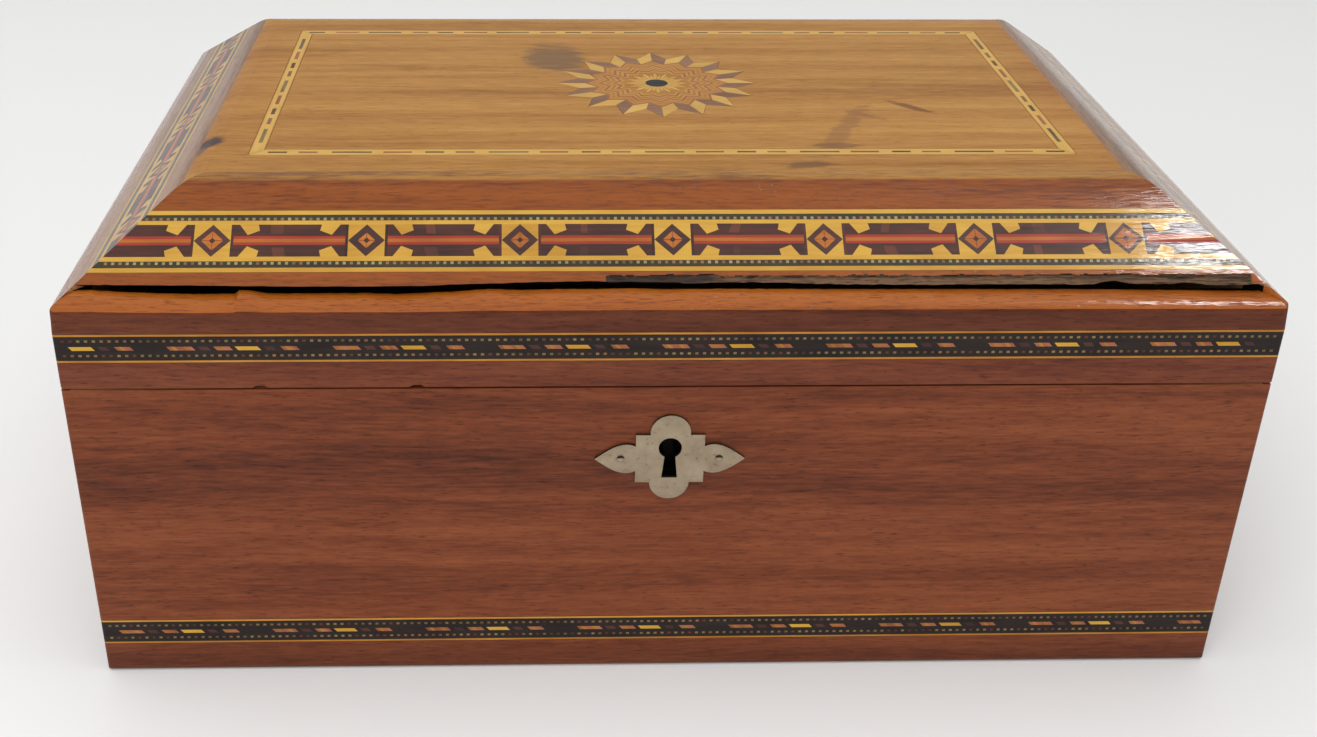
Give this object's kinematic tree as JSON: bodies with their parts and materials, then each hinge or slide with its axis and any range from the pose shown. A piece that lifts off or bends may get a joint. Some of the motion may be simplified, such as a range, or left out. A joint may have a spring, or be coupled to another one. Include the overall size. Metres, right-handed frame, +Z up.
{
  "type": "cigar humidor",
  "caption": "Rectangular wooden cigar humidor with a bevelled, inlaid lid hinged at the back and a keyhole plate on the front.",
  "frame": {"origin": "middle of the underside, on the surface that the box stands on", "axes": "+X to the right along the long side, +Y to the back where the hinges are, +Z up; the keyhole faces -Y"},
  "size_m": [0.305, 0.2044, 0.1333],
  "materials": {
    "face_wood": "varnished red-brown veneer with dark straight grain",
    "bevel_wood": "glossy varnished red-brown veneer",
    "top_wood": "glossy varnished golden-brown veneer with stains",
    "plain_wood": "bare light-brown wood",
    "side_banding": "dark inlaid banding with rows of light dots and dashes, varnished flush",
    "bevel_banding": "inlaid banding of squares, lozenges and a red stripe between yellow lines, varnished flush",
    "string_inlay": "yellow and brown string inlay, varnished flush",
    "star_inlay": "sixteen-point star of yellow, brown and tan veneers, varnished flush",
    "nickel": "dull warm-grey plated sheet, tarnished",
    "lock_steel": "dull iron with light brown tarnish",
    "brass": "aged brass, dulled"
  },
  "bodies": {
    "base": {"base_back_wall": "face_wood", "base_banding_back": "side_banding", "base_banding_front": "side_banding", "base_banding_left": "side_banding", "base_banding_right": "side_banding", "base_bottom": "plain_wood", "base_front_wall": "face_wood", "base_left_wall": "face_wood", "base_right_wall": "face_wood", "hinge_left_base_leaf": "brass", "hinge_left_base_screw_left": "brass", "hinge_left_base_screw_right": "brass", "hinge_left_pin": "lock_steel", "hinge_right_base_leaf": "brass", "hinge_right_base_screw_left": "brass", "hinge_right_base_screw_right": "brass", "hinge_right_pin": "lock_steel", "keyhole_plate": "nickel", "lock_case": "lock_steel", "plate_pin_left": "nickel", "plate_pin_right": "nickel"},
    "lid": {"bevel_banding_back": "bevel_banding", "bevel_banding_front": "bevel_banding", "bevel_banding_left": "bevel_banding", "bevel_banding_right": "bevel_banding", "hinge_left_lid_leaf": "brass", "hinge_left_lid_screw_left": "brass", "hinge_left_lid_screw_right": "brass", "hinge_right_lid_leaf": "brass", "hinge_right_lid_screw_left": "brass", "hinge_right_lid_screw_right": "brass", "lid_back_moulding": "bevel_wood", "lid_back_rail": "face_wood", "lid_banding_back": "side_banding", "lid_banding_front": "side_banding", "lid_banding_left": "side_banding", "lid_banding_right": "side_banding", "lid_front_moulding": "bevel_wood", "lid_front_rail": "face_wood", "lid_left_moulding": "bevel_wood", "lid_left_rail": "face_wood", "lid_right_moulding": "bevel_wood", "lid_right_rail": "face_wood", "lid_top_panel": "top_wood", "star_inlay": "star_inlay", "strike_plate": "lock_steel", "string_inlay_back": "string_inlay", "string_inlay_front": "string_inlay", "string_inlay_left": "string_inlay", "string_inlay_right": "string_inlay"}
  },
  "joints": [
    {"name": "lid_hinge", "type": "hinge", "parent": "base", "child": "lid", "pos_m": [0, 0.0991, 0.08905], "axis": [-1, 0, 0], "range_deg": [0, 98]}
  ]
}
